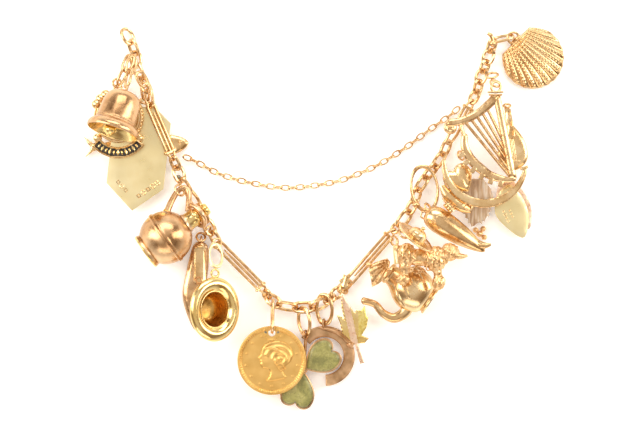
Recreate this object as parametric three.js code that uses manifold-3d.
// A gold charm bracelet, laid out flat: a fetter-link chain that carries about twenty charms,
// with a fine safety chain between its ends. Millimetres, +Z up, everything rests on z = 0.
// The charms lie as they fall, some on top of others.

import * as THREE from 'three';
import { mergeVertices } from 'three/addons/utils/BufferGeometryUtils.js';
import Module from 'manifold-3d';

const wasm = await Module();
wasm.setup();

// ---------------------------------------------------------------- driving dimensions

const clearance = 0.3;          // air between two pieces that touch on the real bracelet
const linkWire = 0.72;          // wire of the small links
const linkOpening = 1.75;       // inner width of the small links
const ringOpening = 2.5;        // inner width of the round rings
const fetterWire = 0.85;        // bars of the long fetter links
const fetterOpening = 1.7;      // gap between the two bars of a fetter
const fetterBarRadius = 0.3;
const fetterPinRadius = 0.42;
const fetterBarStart = 2.2;     // the middle bar starts this far into the link
const fetterPinSetback = 2.0;   // the cross pin stands this far before the link's end
const linkOverlap = 0.16;       // how far the links of one run are sunk into each other
const safetyRadius = 0.62;      // outside of the fine safety chain
const coinRadius = 9.1;
const coinThickness = 1.3;
const bellLength = 12.4;
const bellLip = 6.9;
const bellWall = 0.65;
const flaskRadius = 7.05;
const flaskBeltHeight = 0.32;
const hatLength = 17;
const hatWidth = 14.2;
const hatDepth = 6.3;
const tagLength = 30.4;
const tagHalfWidth = 7.6;
const tagThickness = 0.8;
const leafLength = 10.0;        // one heart of the shamrock
const leafWidth = 9.0;
const shoeThickness = 3.0;
const hoopRadius = 11.3;
const hoopWidth = 1.9;
const shellRadius = 8.2;
const shellHeight = 3.2;

const degrees = Math.PI / 180;

const finish = {
  paleGold: { color: 0xd9b27a, roughness: 0.25, metalness: 1 },
  roseGold: { color: 0xcf9a72, roughness: 0.25, metalness: 1 },
  yellowGold: { color: 0xe0b64f, roughness: 0.22, metalness: 1 },
  coinGold: { color: 0xd9a441, roughness: 0.35, metalness: 1 },
  lemonGold: { color: 0xdfc983, roughness: 0.3, metalness: 1 },
  enamel: { color: 0x23283a, roughness: 0.2, metalness: 0 },
  greenMarble: { color: 0x9aa34a, roughness: 0.35, metalness: 0 },
  crystal: { color: 0xc9b3a0, roughness: 0.1, metalness: 0 },
};

// ---------------------------------------------------------------- solids

function toSolid(geometry) {
  const bare = geometry.clone();
  for (const name of Object.keys(bare.attributes)) {
    if (name !== 'position') bare.deleteAttribute(name);
  }
  const merged = mergeVertices(bare, 1e-4);
  const corners = merged.index.array;
  const triangles = [];
  for (let i = 0; i < corners.length; i += 3) {
    const [a, b, c] = [corners[i], corners[i + 1], corners[i + 2]];
    if (a !== b && b !== c && c !== a) triangles.push(a, b, c);
  }
  return new wasm.Manifold(new wasm.Mesh({
    numProp: 3,
    vertProperties: new Float32Array(merged.attributes.position.array),
    triVerts: new Uint32Array(triangles),
  }));
}

function toGeometry(solid) {
  const { vertProperties, triVerts } = solid.getMesh();
  const geometry = new THREE.BufferGeometry();
  geometry.setAttribute('position', new THREE.BufferAttribute(new Float32Array(vertProperties), 3));
  geometry.setIndex(new THREE.BufferAttribute(new Uint32Array(triVerts), 1));
  return geometry;
}

function join(pieces) {
  return toGeometry(pieces.map(toSolid).reduce((whole, next) => whole.add(next)));
}

function cut(body, tools) {
  return toGeometry(tools.map(toSolid).reduce((whole, tool) => whole.subtract(tool), toSolid(body)));
}

function outline(points) {
  return new THREE.Shape(points.map(([x, y]) => new THREE.Vector2(x, y)));
}

function smoothOutline(points, steps) {
  const corners = points.map(([x, y]) => new THREE.Vector3(x, y, 0));
  const curve = new THREE.CatmullRomCurve3(corners, true);
  return new THREE.Shape(curve.getPoints(steps).slice(0, -1).map(p => new THREE.Vector2(p.x, p.y)));
}

// A plate centred on z = 0, with its edge rounded by softening millimetres.
function plate(shape, thickness, softening = 0, curveSegments = 6) {
  const geometry = new THREE.ExtrudeGeometry(shape, {
    depth: thickness - 2 * softening,
    bevelEnabled: softening > 0,
    bevelThickness: softening,
    bevelSize: softening,
    bevelOffset: -softening,
    bevelSegments: 1,
    steps: 1,
    curveSegments,
  });
  return geometry.translate(0, 0, softening - thickness / 2);
}

// A body turned about the Y axis from [radius, y] rows that start and end on the axis.
// The lathe faces outward when its profile runs upward.
function turned(rows, sides = 16) {
  const profile = rows.map(([radius, y]) => new THREE.Vector2(radius, y));
  if (rows.at(-1)[1] < rows[0][1]) profile.reverse();
  return new THREE.LatheGeometry(profile, sides);
}

function ball(x, y, z, radius, stretch = [1, 1, 1]) {
  const geometry = new THREE.SphereGeometry(radius, 8, 5);
  return geometry.scale(...stretch).translate(x, y, z);
}

function tube(points, radius, sides = 8, steps = 12) {
  const section = new THREE.Shape();
  section.absarc(0, 0, radius, 0, 2 * Math.PI);
  const route = new THREE.CatmullRomCurve3(points.map(([x, y, z = 0]) => new THREE.Vector3(x, y, z)));
  return new THREE.ExtrudeGeometry(section, {
    extrudePath: route, steps, curveSegments: sides / 2, bevelEnabled: false,
  });
}

function rod(from, to, radius, sides = 8) {
  const start = new THREE.Vector3(...from);
  const end = new THREE.Vector3(...to);
  const geometry = new THREE.CylinderGeometry(radius, radius, start.distanceTo(end), sides);
  const along = end.clone().sub(start).normalize();
  geometry.applyQuaternion(new THREE.Quaternion().setFromUnitVectors(new THREE.Vector3(0, 1, 0), along));
  return geometry.translate(...start.add(end).multiplyScalar(0.5).toArray());
}

// A link in the XY plane, long along X: a round ring whose halves are pulled apart.
function linkBody(innerLength, innerWidth, wire, steps = 10) {
  const straight = Math.max(0, innerLength - innerWidth) / 2;
  const geometry = new THREE.TorusGeometry((innerWidth + wire) / 2, wire / 2, 5, steps);
  const place = geometry.attributes.position;
  for (let i = 0; i < place.count; i += 1) {
    const x = place.getX(i);
    place.setX(i, x + Math.sign(x) * straight);
  }
  return geometry;
}

function ring(x, y, z, radius, wire, stand = 0, turn = 0) {
  const geometry = new THREE.TorusGeometry(radius, wire / 2, 5, 10);
  return geometry.rotateY(stand * degrees).rotateZ(turn * degrees).translate(x, y, z);
}

// ---------------------------------------------------------------- the group

const bracelet = new THREE.Group();

function addPiece(name, look, geometry, place = {}) {
  const mesh = new THREE.Mesh(geometry, new THREE.MeshStandardMaterial(finish[look]));
  mesh.name = name;
  mesh.position.set(place.x ?? 0, place.y ?? 0, place.z ?? 0);
  const turns = [place.tip ?? 0, place.roll ?? 0, place.turn ?? 0].map(angle => angle * degrees);
  mesh.rotation.set(...turns, 'ZYX');
  bracelet.add(mesh);
  return mesh;
}

// ---------------------------------------------------------------- main chain

// Each row is one link, from the point where it meets the link before it to the next such point.
// Rows that share a node are soldered into one run.
const chainRows = [
  { node: 'end_ring', x: -53.0, y: 49.6, z: 2.0, kind: 'ring' },
  { node: 'links_1', x: -51.2, y: 46.6, z: 2.0, kind: 'link' },
  { node: 'links_1', x: -50.0, y: 43.6, z: 2.0, kind: 'ring' },
  { node: 'links_2', x: -49.9, y: 40.3, z: 2.2, kind: 'link' },
  { node: 'links_2', x: -48.4, y: 36.9, z: 3.0, kind: 'link' },
  { node: 'links_2', x: -46.6, y: 33.5, z: 4.4, kind: 'link' },
  { node: 'fetter_1', x: -46.0, y: 29.8, z: 4.9, kind: 'fetter' },
  { node: 'links_3', x: -40.0, y: 15.7, z: 3.3, kind: 'link' },
  { node: 'links_3', x: -39.0, y: 13.2, z: 2.6, kind: 'ring' },
  { node: 'links_4', x: -37.9, y: 9.9, z: 2.6, kind: 'link' },
  { node: 'links_4', x: -35.9, y: 6.7, z: 2.3, kind: 'link' },
  { node: 'links_5', x: -33.4, y: 3.0, z: 2.0, kind: 'link' },
  { node: 'links_5', x: -31.4, y: -0.9, z: 2.0, kind: 'ring' },
  { node: 'links_5', x: -29.7, y: -4.1, z: 2.0, kind: 'link' },
  { node: 'fetter_2', x: -28.1, y: -7.0, z: 2.0, kind: 'fetter' },
  { node: 'links_6', x: -15.5, y: -19.8, z: 2.0, kind: 'link' },
  { node: 'links_6', x: -14.8, y: -21.2, z: 2.0, kind: 'ring' },
  { node: 'link_7', x: -12.0, y: -23.2, z: 2.0, kind: 'link' },
  { node: 'link_8', x: -7.7, y: -23.9, z: 2.0, kind: 'ring' },
  { node: 'links_9', x: -3.2, y: -23.8, z: 2.0, kind: 'ring' },
  { node: 'links_9', x: 0.6, y: -22.3, z: 2.0, kind: 'link' },
  { node: 'links_10', x: 2.4, y: -21.0, z: 2.0, kind: 'ring' },
  { node: 'links_10', x: 4.3, y: -19.2, z: 2.0, kind: 'link' },
  { node: 'fetter_3', x: 6.6, y: -17.2, z: 2.0, kind: 'fetter' },
  { node: 'links_11', x: 18.5, y: -3.5, z: 2.0, kind: 'link' },
  { node: 'links_11', x: 20.0, y: -2.0, z: 2.0, kind: 'ring' },
  { node: 'links_12', x: 22.6, y: 1.4, z: 2.0, kind: 'link' },
  { node: 'links_12', x: 24.0, y: 4.2, z: 2.0, kind: 'link' },
  { node: 'links_13', x: 25.0, y: 7.4, z: 2.0, kind: 'link' },
  { node: 'links_13', x: 27.0, y: 10.6, z: 2.0, kind: 'link' },
  { node: 'links_14', x: 29.5, y: 13.6, z: 2.0, kind: 'link' },
  { node: 'links_14', x: 31.6, y: 16.8, z: 2.0, kind: 'link' },
  { node: 'square_link', x: 33.0, y: 20.0, z: 2.0, kind: 'square' },
  { node: 'fetter_4', x: 36.0, y: 25.0, z: 2.0, kind: 'fetter' },
  { node: 'links_15', x: 39.3, y: 30.8, z: 2.0, kind: 'link' },
  { node: 'links_15', x: 40.6, y: 33.4, z: 2.0, kind: 'link' },
  { node: 'links_16', x: 41.3, y: 36.0, z: 2.0, kind: 'ring' },
  { node: 'links_16', x: 42.2, y: 38.9, z: 2.0, kind: 'link' },
  { node: 'links_17', x: 43.2, y: 41.2, z: 2.0, kind: 'ring' },
  { node: 'links_17', x: 44.1, y: 44.3, z: 2.0, kind: 'link' },
  { node: 'swivel', x: 45.0, y: 47.0, z: 2.0, kind: 'swivel', roll: -60 },
  { x: 49.8, y: 48.1, z: 2.0 },
];

const linkKinds = {
  link: { opening: linkOpening, wire: linkWire },
  ring: { opening: ringOpening, wire: linkWire },
  fetter: { opening: fetterOpening, wire: fetterWire },
  square: { opening: 2.0, wire: 0.8 },
  swivel: { opening: 1.8, wire: 0.7 },
};

// One link between two meeting points, rolled about its own length.
function linkBetween(start, end, kind, rollAngle, sink) {
  const from = new THREE.Vector3(start.x, start.y, start.z);
  const to = new THREE.Vector3(end.x, end.y, end.z);
  const span = from.distanceTo(to);
  const reach = span + sink.start + sink.end;
  const along = to.clone().sub(from).normalize();
  const { opening, wire } = linkKinds[kind];
  const body = linkBody(reach, Math.min(opening, reach), wire).rotateX(rollAngle * degrees);
  body.translate((sink.end - sink.start) / 2, 0, 0);
  body.rotateY(-Math.asin(along.z)).rotateZ(Math.atan2(along.y, along.x));
  return body.translate(...from.add(to).multiplyScalar(0.5).toArray());
}

// What stiffens a fetter link: a bar down its middle and a cross pin near its far end.
function fetterBars(start, end) {
  const from = new THREE.Vector3(start.x, start.y, start.z);
  const to = new THREE.Vector3(end.x, end.y, end.z);
  const side = new THREE.Vector3().crossVectors(to.clone().sub(from), new THREE.Vector3(0, 0, 1));
  side.setLength(fetterOpening / 2 + fetterWire);
  const span = from.distanceTo(to);
  const barStart = from.clone().lerp(to, fetterBarStart / span);
  const pin = from.clone().lerp(to, 1 - fetterPinSetback / span);
  return [
    rod(barStart.toArray(), pin.toArray(), fetterBarRadius, 6),
    rod(pin.clone().sub(side).toArray(), pin.clone().add(side).toArray(), fetterPinRadius, 6),
  ];
}

function addMainChain() {
  const solids = new Map();
  chainRows.slice(0, -1).forEach((row, i) => {
    const next = chainRows[i + 1];
    const before = chainRows[i - 1];
    const sink = {
      start: (before?.node === row.node ? -linkOverlap : clearance) / 2,
      end: (next.node === row.node ? -linkOverlap : clearance) / 2,
    };
    const roll = row.roll ?? (i % 2 ? 45 : -45);
    const flat = row.kind === 'fetter' ? 18 * Math.sign(roll) : roll;
    const pieces = solids.get(row.node) ?? [];
    pieces.push(linkBetween(row, next, row.kind, flat, sink));
    if (row.kind === 'fetter') pieces.push(...fetterBars(row, next));
    solids.set(row.node, pieces);
  });
  for (const [node, pieces] of solids) {
    addPiece(node, 'paleGold', join(pieces));
  }
}

// ---------------------------------------------------------------- safety chain

const safetyRoute = [
  [-37.2, 16.2, 1.2], [-34.5, 15.1, 0.9], [-29.2, 12.2, 0.7], [-25.2, 10.7, 0.7], [-20.9, 9.5, 0.7],
  [-13.0, 8.1, 0.7], [-6.9, 8.0, 0.7], [1.6, 9.2, 0.7], [7.4, 10.9, 0.7], [15.1, 14.4, 0.7],
  [22.0, 18.8, 0.7], [28.4, 23.6, 0.7], [33.2, 26.9, 0.8], [35.8, 29.2, 1.0],
];

function addSafetyChain() {
  addPiece('safety_chain', 'roseGold', tube(safetyRoute, safetyRadius, 8, 44));
}

// ---------------------------------------------------------------- left end

function addBell() {
  const wall = bellWall;
  const shell = turned([
    [0, -0.9], [2.3, -1.1], [3.9, -2.3], [4.5, -4.4], [5.0, -8.2], [5.3, -9.9], [5.9, -10.4],
    [bellLip, -bellLength], [bellLip - 0.5, -bellLength - 0.2], [5.3 - wall, -10.4],
    [5.0 - wall, -8.2], [4.5 - wall, -4.6], [3.9 - wall, -2.9], [0, -1.8],
  ], 16);
  const place = { x: -52.0, y: 34.0, z: 8.6, turn: -17.5, tip: -13 };
  addPiece('bell', 'roseGold', join([shell, ring(0, -0.1, 0, 1.15, 0.6, 90)]), place);
  const clapper = join([
    ball(-0.6, -11.7, -2.4, 1.45),
    rod([0, -3.3, -1.2], [-0.6, -11.7, -2.4], 0.4, 6),
  ]);
  addPiece('bell_clapper', 'yellowGold', clapper, place);
}

function bannerArc(inner, outer, halfAngle) {
  const shape = new THREE.Shape();
  const [start, end] = [-90 - halfAngle, -90 + halfAngle].map(angle => angle * degrees);
  shape.absarc(0, -10.5, outer, start, end);
  shape.absarc(0, -10.5, inner, end, start, true);
  return shape;
}

function addCrest() {
  const place = { x: -54.6, y: 35.0, z: 3.7 };
  const frame = new THREE.Shape();
  frame.absellipse(0, -8.4, 6.6, 6.9, 0, 2 * Math.PI);
  const window = new THREE.Path();
  window.absellipse(0, -8.4, 4.4, 4.7, 0, 2 * Math.PI);
  frame.holes.push(window);
  const scrolls = [110, 138, 165, -30, 0, 30].map(angle => {
    const bend = angle * degrees;
    return ball(6.5 * Math.cos(bend), -8.4 + 6.8 * Math.sin(bend), 0, 1.2, [1, 1, 0.6]);
  });
  const body = join([
    plate(frame, 1.2, 0, 6),
    plate(bannerArc(5.9, 8.8, 53), 1.2, 0, 7),
    ring(0, -0.8, 0, 1.0, 0.6),
    ...scrolls,
    ball(-5.3, -13.9, 0, 1.3, [1, 1, 0.45]),
    ball(5.3, -13.9, 0, 1.3, [1, 1, 0.45]),
  ]);
  const recess = plate(bannerArc(6.3, 8.4, 49), 0.8, 0, 7).translate(0, 0, 0.6);
  addPiece('crest_frame', 'yellowGold', cut(body, [recess]), place);
  const band = plate(bannerArc(6.5, 8.2, 48), 0.5, 0, 7).translate(0, 0, 0.55);
  addPiece('crest_enamel', 'enamel', band, place);
}

function addTag() {
  const shape = outline([
    [0, 0], [-tagHalfWidth, -6.2], [-tagHalfWidth, 6.6 - tagLength],
    [0, -tagLength], [tagHalfWidth, 6.6 - tagLength], [tagHalfWidth, -6.2],
  ]);
  const eyelet = new THREE.Path();
  eyelet.absarc(0, -1.9, 0.8, 0, 2 * Math.PI, true);
  shape.holes.push(eyelet);
  const place = { x: -47.5, y: 32.0, z: 2.2, turn: -6.5 };
  addPiece('hexagon_tag', 'lemonGold', plate(shape, tagThickness, 0, 4), place);
}

function addFish() {
  const body = smoothOutline([
    [-12.6, 0], [-6, 2.0], [3, 2.9], [9.5, 2.5], [12.8, 0.4], [9.5, -2.3], [3, -2.6], [-6, -1.7],
  ], 28);
  const tail = outline([[-11.0, 0.6], [-15.0, 3.1], [-13.5, 0], [-15.0, -2.7], [-11.0, -0.6]]);
  const geometry = join([plate(body, 1.5, 0.35), plate(tail, 0.9)]);
  addPiece('fish', 'yellowGold', geometry, { x: -48.8, y: 19.0, z: 0.8, turn: 2 });
}

// ---------------------------------------------------------------- lower left

function addFlask() {
  const radius = flaskRadius;
  const sphere = [-62, -48, -30, -15, -5].map(angle => [
    radius * Math.cos(angle * degrees), radius * Math.sin(angle * degrees),
  ]);
  const upper = sphere.slice().reverse().map(([r, y]) => [r, -y]);
  const belt = radius + flaskBeltHeight;
  const body = turned([
    [0, -7.7], [4.2, -7.9], [4.4, -7.3], ...sphere, [belt, -0.5], [belt, 0.5], ...upper,
    [2.5, 7.2], [2.4, 9.6], [3.0, 9.8], [3.1, 10.6], [2.8, 11.1], [1.4, 11.2], [1.1, 12.0],
    [1.5, 12.9], [0.9, 13.8], [0, 13.9],
  ], 16);
  const handle = tube([
    [-5.4, 4.0, -0.6], [-7.2, 7.2, -1.6], [-8.4, 10.2, -2.2], [-7.5, 12.0, -2.2],
    [-5.2, 11.4, -1.4], [-2.2, 9.0, -0.4],
  ], 0.75, 8, 14);
  const place = { x: -41.8, y: -5.3, z: radius + flaskBeltHeight, turn: -54.7 };
  addPiece('ball_flask', 'paleGold', join([body, handle]), place);
}

function addShoe() {
  const sole = smoothOutline([
    [0, 0], [2.0, -1.6], [2.1, -7], [1.4, -12], [0.6, -17], [0.2, -22.4], [-1.6, -23.6],
    [-3.8, -19], [-4.8, -14], [-3.9, -8.5], [-2.6, -3],
  ], 30);
  const heel = smoothOutline([
    [-1.9, -2.6], [0, -1.2], [1.7, -2.6], [1.7, -10], [0, -11.8], [-1.9, -10],
  ], 18);
  const geometry = join([
    plate(sole, shoeThickness, 0.9),
    plate(heel, 1.0).translate(0, 0, shoeThickness / 2),
    ring(-0.4, -10.4, shoeThickness / 2 + 0.6, 0.7, 0.4),
    ring(0.2, 0.2, 0, 1.0, 0.6, 90),
  ]);
  addPiece('shoe', 'roseGold', geometry, { x: -32.8, y: -6.2, z: shoeThickness / 2 });
}

function addHat() {
  const half = hatLength / 2;
  const body = turned([
    [0, -hatDepth], [2.4, -hatDepth + 0.1], [4.0, -5.2], [4.6, -3.0], [4.8, -0.7], [5.3, -0.3],
    [7.5, -0.2], [half, 0.6], [half, 1.2], [8.0, 1.4], [7.2, 0.8], [5.4, 0.7], [4.9, 0.9],
    [4.4, 0.5], [4.0, -1.2], [3.9, -4.7], [2.2, -5.6], [0, -5.7],
  ], 16).rotateX(90 * degrees).scale(hatWidth / hatLength, 1, 1);
  const eye = ring(0, half + 1.0, 0.9, 1.05, 0.6);
  addPiece('bowler_hat', 'yellowGold', join([body, eye]), { x: -29.1, y: -24.2, z: 8.4, roll: 26 });
  const oval = linkBody(5.0, 2.7, 0.62).rotateZ(90 * degrees).rotateY(20 * degrees);
  addPiece('hat_ring', 'lemonGold', oval, { x: -28.5, y: -9.1, z: 5.6, tip: -42, turn: 5 });
}

// ---------------------------------------------------------------- lowest charms

function addCoin() {
  const blank = turned([
    [0, -0.45], [8.3, -0.45], [8.5, -coinThickness / 2], [coinRadius, -coinThickness / 2],
    [coinRadius, coinThickness / 2], [8.5, coinThickness / 2], [8.3, 0.45], [0, 0.45],
  ], 24).rotateX(90 * degrees);
  const hole = new THREE.CylinderGeometry(0.95, 0.95, 3, 12).rotateX(90 * degrees).translate(0, 7.3, 0);
  const head = ball(0.2, 0.3, 0.3, 3.2, [0.85, 1.1, 0.12]);
  addPiece('coin', 'coinGold', cut(join([blank, head]), [hole]), { x: -13.8, y: -37.8, z: 5.2 });
  const bail = linkBetween(
    { x: -13.6, y: -22.3, z: 2.8 }, { x: -13.7, y: -30.0, z: 5.6 }, 'ring', 84,
    { start: clearance / 2, end: clearance / 2 },
  );
  addPiece('coin_bail', 'roseGold', bail);
}

function heartShape(width, length) {
  const shape = new THREE.Shape();
  shape.moveTo(0, 0);
  shape.bezierCurveTo(width * 0.3, length * 0.2, width * 0.62, length * 0.5, width * 0.47, length * 0.84);
  shape.bezierCurveTo(width * 0.38, length * 1.05, width * 0.1, length * 1.04, 0, length * 0.88);
  shape.bezierCurveTo(
    -width * 0.1, length * 1.04, -width * 0.38, length * 1.05, -width * 0.47, length * 0.84,
  );
  shape.bezierCurveTo(-width * 0.62, length * 0.5, -width * 0.3, length * 0.2, 0, 0);
  return shape;
}

function addShamrock() {
  const place = { x: -5.3, y: -40.4, z: 2.9 };
  const leafTurns = [165, -56, 62];
  const border = 0.75;
  const cups = leafTurns.map(turn => {
    const cup = cut(plate(heartShape(leafWidth, leafLength), 1.9, 0, 5), [
      plate(heartShape(leafWidth - 2 * border, leafLength - 2.2 * border), 1.9, 0, 5)
        .translate(0, 1.1 * border, 0.7),
    ]);
    return cup.translate(0, 0.3, 0).rotateZ(turn * degrees);
  });
  const centre = new THREE.CylinderGeometry(0.9, 0.9, 1.9, 10).rotateX(90 * degrees);
  const eye = ring(0.4, 9.3, 0, 1.1, 0.6, 60);
  const stem = rod([0, 0, -0.5], [0.4, 8.3, -0.4], 0.45, 6);
  addPiece('shamrock_mount', 'roseGold', join([...cups, centre, stem, eye]), place);
  leafTurns.forEach((turn, i) => {
    const inset = border + 0.3;
    const stone = plate(heartShape(leafWidth - 2 * inset, leafLength - 2.2 * inset), 1.3, 0.25, 5)
      .translate(0, 1.1 * inset + 0.3, 0.75).rotateZ(turn * degrees);
    addPiece(`shamrock_stone_${i + 1}`, 'greenMarble', stone, place);
  });
  const loop = linkBetween(
    { x: -5.6, y: -24.3, z: 3.1 }, { x: -4.9, y: -30.7, z: 3.0 }, 'ring', 53,
    { start: clearance / 2, end: clearance / 2 },
  );
  addPiece('shamrock_ring', 'paleGold', loop);
}

function addHorseshoe() {
  const [inner, outer] = [5.0, 8.0];
  const shape = new THREE.Shape();
  shape.absarc(0, 0, outer, -90 * degrees, 142 * degrees);
  shape.absarc(0, 0, inner, 142 * degrees, -86 * degrees, true);
  const geometry = join([
    plate(shape, 1.3, 0, 18),
    rod([-1.4, 7.6, 0.8], [6.6, 3.4, 0.8], 0.5),
    ball(6.9, 3.2, 0.8, 0.95),
    ring(-0.2, 8.7, 1.0, 1.05, 0.6, 75),
  ]);
  addPiece('horseshoe', 'roseGold', geometry, { x: 0.2, y: -36.8, z: 0.7 });
  const loop = linkBetween(
    { x: 0.1, y: -20.85, z: 3.2 }, { x: 0.15, y: -27.8, z: 2.0 }, 'ring', 31,
    { start: clearance / 2, end: clearance / 2 },
  );
  addPiece('horseshoe_ring', 'paleGold', loop);
}

function addMapleLeaf() {
  const shape = outline([
    [-3.8, 14.1], [-4.05, 13.0], [-3.9, 9.7], [-3.2, 6.5], [-3.8, 7.3], [-5.3, 7.8], [-4.3, 5.4],
    [-3.8, 3.0], [-1.7, 1.1], [-0.4, 0], [1.0, -5.2], [2.2, -4.9], [0.5, 0], [0.3, 0.2], [2.2, 0.4],
    [3.3, 1.6], [1.35, 2.4], [2.7, 4.6], [3.1, 7.0], [2.6, 7.6], [2.2, 10.3], [1.1, 8.9], [0, 9.2],
    [-0.5, 8.4], [-2.4, 11.1],
  ]);
  const place = { x: 8.6, y: -33.6, z: 4.6 };
  addPiece('maple_leaf', 'yellowGold', join([plate(shape, 0.8), ring(-3.9, 14.6, 0, 0.9, 0.5, 60)]), place);
}

// ---------------------------------------------------------------- lower right

function addFan() {
  const shape = outline([
    [-0.8, -1.0], [0.2, 0.5], [4.2, 1.9], [4.9, 0.95], [3.9, -2.5], [1.9, -4.9], [0.1, -5.7], [0, -4.0],
  ]);
  addPiece('ridged_fan', 'roseGold', plate(shape, 1.3, 0.3), { x: 12.5, y: -12.6, z: 9.2 });
}

function addKettle() {
  const body = turned([
    [0, -5.5], [3.7, -5.6], [3.8, -4.9], [3.2, -4.6], [4.9, -3.4], [5.8, -1.0], [5.9, 0.6],
    [5.0, 3.2], [3.6, 5.2], [2.7, 7.0], [2.7, 8.2], [2.4, 8.6], [0, 8.7],
  ], 18).rotateZ(55.7 * degrees);
  const spout = tube([
    [-1.4, -4.0, 0], [-2.6, -6.4, 0], [-5.2, -7.4, 0], [-8.0, -6.2, 0], [-10.2, -3.6, 0], [-13.1, -2.8, 0],
  ], 0.95, 8, 16);
  const geometry = join([body, spout, ring(0.7, 5.8, 2.2, 1.1, 0.5, 90)]).scale(1, 1, 0.72);
  addPiece('kettle', 'paleGold', geometry, { x: 23.7, y: -19.2, z: 4.3 });
}

function addPoodle() {
  const geometry = join([
    ball(-4.6, 0.6, 0, 3.0, [0.9, 1.1, 0.75]),
    ball(-5.4, -3.0, 0.2, 1.7, [0.9, 1.6, 0.9]),
    ball(-5.6, -5.8, 0.4, 1.6, [1, 1, 0.8]),
    ball(-0.6, 0.2, 0, 2.7, [1.3, 0.9, 0.75]),
    ball(3.4, -0.4, 0, 3.3, [0.9, 1.1, 0.75]),
    ball(3.6, -4.2, 0.2, 1.5, [0.9, 1.6, 0.9]),
    ball(3.8, -7.0, 0.3, 1.6, [1, 1, 0.8]),
    ball(6.8, 1.2, 0.4, 2.8, [1, 0.95, 0.75]),
    ball(9.6, 0.4, 0.4, 1.5, [1.4, 0.8, 0.8]),
    ring(-0.4, 3.1, 0.4, 1.0, 0.5),
  ]);
  addPiece('poodle', 'roseGold', geometry, { x: 26.4, y: -10.6, z: 10.2 });
}

function addSunHat() {
  const body = turned([
    [0, -0.5], [2.6, -0.5], [5.3, -0.3], [5.5, 0.1], [5.0, 0.4], [2.6, 0.5], [2.2, 2.0], [1.2, 2.5],
    [0.5, 2.7], [0.5, 3.4], [0, 3.5],
  ], 18).rotateX(90 * degrees);
  addPiece('sun_hat', 'yellowGold', body, { x: 24.0, y: -5.2, z: 14.8, turn: -40, tip: -74 });
}

function addClog() {
  const body = turned([
    [0, 2.0], [2.0, 1.6], [3.1, 0.2], [3.5, -2.4], [3.3, -6.0], [2.8, -9.6], [2.0, -12.4],
    [1.2, -14.8], [0.5, -16.6], [0, -16.9],
  ], 14).scale(0.95, 1, 0.8);
  const toe = tube([[0, -12.6, 0], [0.9, -15.0, 0.2], [2.2, -16.8, 0.5]], 0.8, 8, 5);
  const eye = ring(-1.0, 1.9, 0.3, 0.9, 0.5);
  addPiece('clog', 'yellowGold', join([body, toe, eye]), { x: 28.6, y: 0.4, z: 6.9, turn: 56 });
}

function addWireLoop() {
  const loop = linkBody(11.2, 6.2, 0.75, 16).rotateZ(98 * degrees);
  addPiece('wire_loop', 'paleGold', join([loop, ball(-2.2, -4.3, 0, 0.9)]), { x: 26.6, y: 7.7, z: 4.6 });
}

// ---------------------------------------------------------------- right end

function addHoop() {
  const shape = new THREE.Shape();
  shape.absarc(0, 0, hoopRadius, -188 * degrees, -4 * degrees);
  shape.absarc(0, 0, hoopRadius - hoopWidth, -4 * degrees, -188 * degrees, true);
  const pin = ring(-4.2, -hoopRadius + 0.3, 0, 1.0, 0.6);
  addPiece('crescent_hoop', 'paleGold', join([plate(shape, 1.6, 0, 22), pin]), { x: 42.4, y: 13.9, z: 6.5 });
}

function addHeart() {
  const geometry = plate(heartShape(7.8, 7.6), 2.4, 0.8, 6).rotateZ(35 * degrees);
  addPiece('puffed_heart', 'yellowGold', geometry, { x: 38.2, y: 6.8, z: 4.2 });
}

function addCrystalLeaf() {
  const shape = outline([
    [-3.9, 0.6], [-1.4, 3.6], [1.6, 3.4], [3.6, 0.8], [4.1, -3.2], [3.2, -6.4], [2.2, -6.9], [1.4, -8.6],
    [-0.2, -8.2], [-1.6, -9.4], [-2.6, -8.2], [-3.0, -6.6], [-4.4, -5.6], [-3.9, -3.0],
  ]);
  addPiece('crystal_leaf', 'crystal', plate(shape, 2.2, 0.4), { x: 40.8, y: 6.8, z: 1.3 });
}

function addPetals() {
  const shape = smoothOutline([
    [-3.4, -3.2], [0.2, -7.4], [3.9, -9.6], [5.2, -7.0], [5.4, -3.0], [3.6, 1.4], [0.4, 4.6], [-2.6, 2.0],
  ], 22);
  addPiece('petal_front', 'lemonGold', plate(shape, 0.8), { x: 48.9, y: 4.2, z: 1.9 });
  addPiece('petal_back', 'roseGold', plate(shape, 0.8), { x: 49.0, y: 5.8, z: 0.5, turn: 9 });
}

function addFiddle() {
  const body = smoothOutline([
    [0.6, -4.0], [3.2, -6.4], [5.0, -9.6], [5.4, -13.6], [3.0, -16.2], [-0.6, -16.6], [-2.4, -13.0],
    [-2.0, -9.2], [-0.6, -6.6],
  ], 24);
  const neck = outline([[-0.8, 0], [0.9, -0.2], [2.2, -8.0], [0.2, -8.4]]);
  const geometry = join([plate(body, 1.8, 0.5), plate(neck, 1.4).translate(0, 0, 0.5)]);
  addPiece('fiddle', 'paleGold', geometry, { x: 48.5, y: 29.0, z: 4.3 });
}

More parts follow.
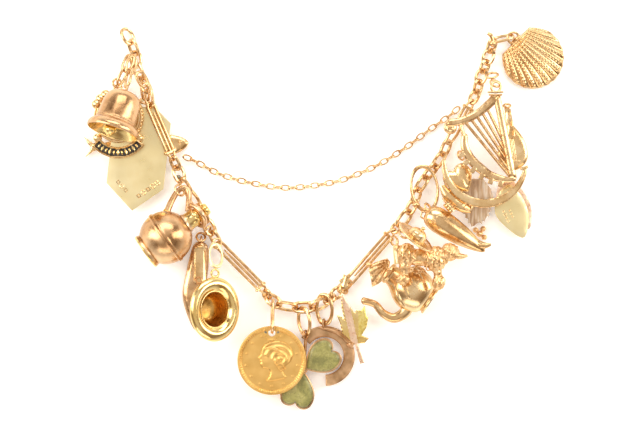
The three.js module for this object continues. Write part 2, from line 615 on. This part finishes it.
function addHarp() {
  const pillarTop = [0, 0];
  const pillarFoot = [4.6, -21.6];
  const pillar = outline([
    [pillarTop[0] - 0.9, pillarTop[1]], [pillarFoot[0] - 1.2, pillarFoot[1]],
    [pillarFoot[0] + 0.8, pillarFoot[1] - 0.2], [pillarTop[0] + 1.1, pillarTop[1]],
  ]);
  const neck = smoothOutline([
    [0.4, -1.2], [-3.4, -5.0], [-7.4, -7.2], [-12.6, -8.2], [-13.2, -6.4], [-8.6, -5.4], [-4.6, -3.2],
    [-0.8, 0.4],
  ], 24);
  const soundBox = smoothOutline([
    [-9.0, -10.2], [-9.0, -15.2], [-4.6, -20.6], [1.0, -22.9], [5.2, -22.4], [4.8, -21.2],
    [1.2, -21.0], [-3.2, -18.4], [-6.9, -14.2], [-7.6, -10.4],
  ], 28);
  const teeth = [[-8.9, -15.4], [-7.6, -17.4], [-5.9, -19.4], [-3.7, -21.1], [-1.3, -22.2], [1.3, -22.9]]
    .map(([x, y]) => new THREE.BoxGeometry(0.9, 0.9, 1.2).translate(x, y, 0));
  const strings = [0, 1, 2, 3, 4].map(i => {
    const share = i / 4;
    const top = [-8.6 + 6.0 * share, -6.6 + 3.6 * share, 0];
    const foot = [3.6 - 0.4 * share, -21.4 + 6.4 * share, 0];
    return rod(top, foot, 0.32, 6);
  });
  const link = rod([-9.4, -7.0, 0], [-8.3, -11.2, 0], 0.55, 6);
  const scroll = new THREE.CylinderGeometry(2.0, 2.0, 1.7, 12)
    .rotateX(90 * degrees).translate(-12.0, -8.6, 0);
  const cap = new THREE.BoxGeometry(3.9, 1.3, 2.2).translate(-0.2, 0.5, 0);
  const geometry = join([
    plate(pillar, 1.7), plate(neck, 1.7), plate(soundBox, 1.5), scroll, cap, link,
    ring(-0.1, 2.2, 0, 1.35, 0.7, 20), ...teeth, ...strings,
  ]);
  addPiece('harp', 'yellowGold', geometry, { x: 45.4, y: 32.2, z: 8.8 });
}

function addShell() {
  const dome = new THREE.SphereGeometry(shellRadius, 24, 12).scale(1, 1, shellHeight / shellRadius);
  const below = new THREE.BoxGeometry(40, 40, 20).translate(0, 0, -10);
  const behind = new THREE.BoxGeometry(20, 40, 20).translate(-10 - 6.4, 0, 0);
  const body = cut(dome, [below, behind]);
  const eye = ring(-7.4, 0, 1.75, 1.5, 0.7, 0);
  const geometry = join([body.rotateZ(-45 * degrees), eye.rotateZ(-45 * degrees).translate(-0.2, 0.2, 0)]);
  addPiece('scallop_shell', 'paleGold', geometry, { x: 55.6, y: 42.4 });
}

function addCurl() {
  const geometry = join([
    ball(0, 0, 0, 1.1), ball(-1.1, 1.0, 0, 0.9), ball(0.9, 1.3, 0, 0.9), ball(1.2, -1.0, 0, 0.9),
  ]);
  addPiece('tiny_curl', 'roseGold', geometry, { x: 41.4, y: -4.4, z: 1.2 });
}

addMainChain();
addSafetyChain();
addBell();
addCrest();
addTag();
addFish();
addFlask();
addShoe();
addHat();
addCoin();
addShamrock();
addHorseshoe();
addMapleLeaf();
addFan();
addKettle();
addPoodle();
addSunHat();
addClog();
addWireLoop();
addHoop();
addHeart();
addCrystalLeaf();
addPetals();
addFiddle();
addHarp();
addShell();
addCurl();

export default bracelet;
